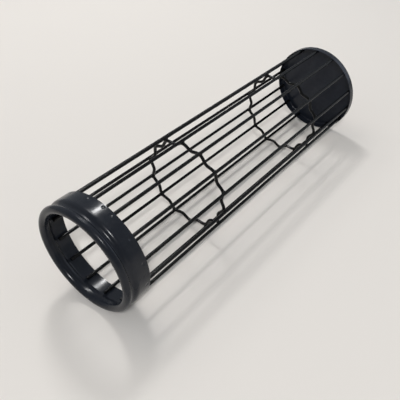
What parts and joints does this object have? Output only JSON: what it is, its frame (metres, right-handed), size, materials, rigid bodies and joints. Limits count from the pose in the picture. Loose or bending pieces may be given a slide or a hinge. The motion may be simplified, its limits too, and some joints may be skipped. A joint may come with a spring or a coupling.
{
  "type": "baghouse filter cage",
  "caption": "Black painted wire cage that holds a filter bag open: straight long wires, wavy support rings, a pressed bottom cap and a grooved collar with a rolled lip.",
  "frame": {"origin": "centre of the bottom cap's underside, on the cage's axis", "axes": "+Z along the cage's axis from the cap to the collar; +X through the first long wire"},
  "size_m": [0.1186, 0.1186, 0.4335],
  "materials": {
    "sheet_paint": "semi-gloss black paint on pressed sheet steel",
    "wire_paint": "semi-gloss black paint on drawn steel wire"
  },
  "bodies": {
    "root": {"collar": "sheet_paint", "bottom_cap": "sheet_paint", "upper_ring": "wire_paint", "lower_ring": "wire_paint", "wire_01": "wire_paint", "wire_02": "wire_paint", "wire_03": "wire_paint", "wire_04": "wire_paint", "wire_05": "wire_paint", "wire_06": "wire_paint", "wire_07": "wire_paint", "wire_08": "wire_paint", "wire_09": "wire_paint", "wire_10": "wire_paint", "wire_11": "wire_paint", "wire_12": "wire_paint", "wire_13": "wire_paint", "wire_14": "wire_paint"}
  },
  "joints": []
}
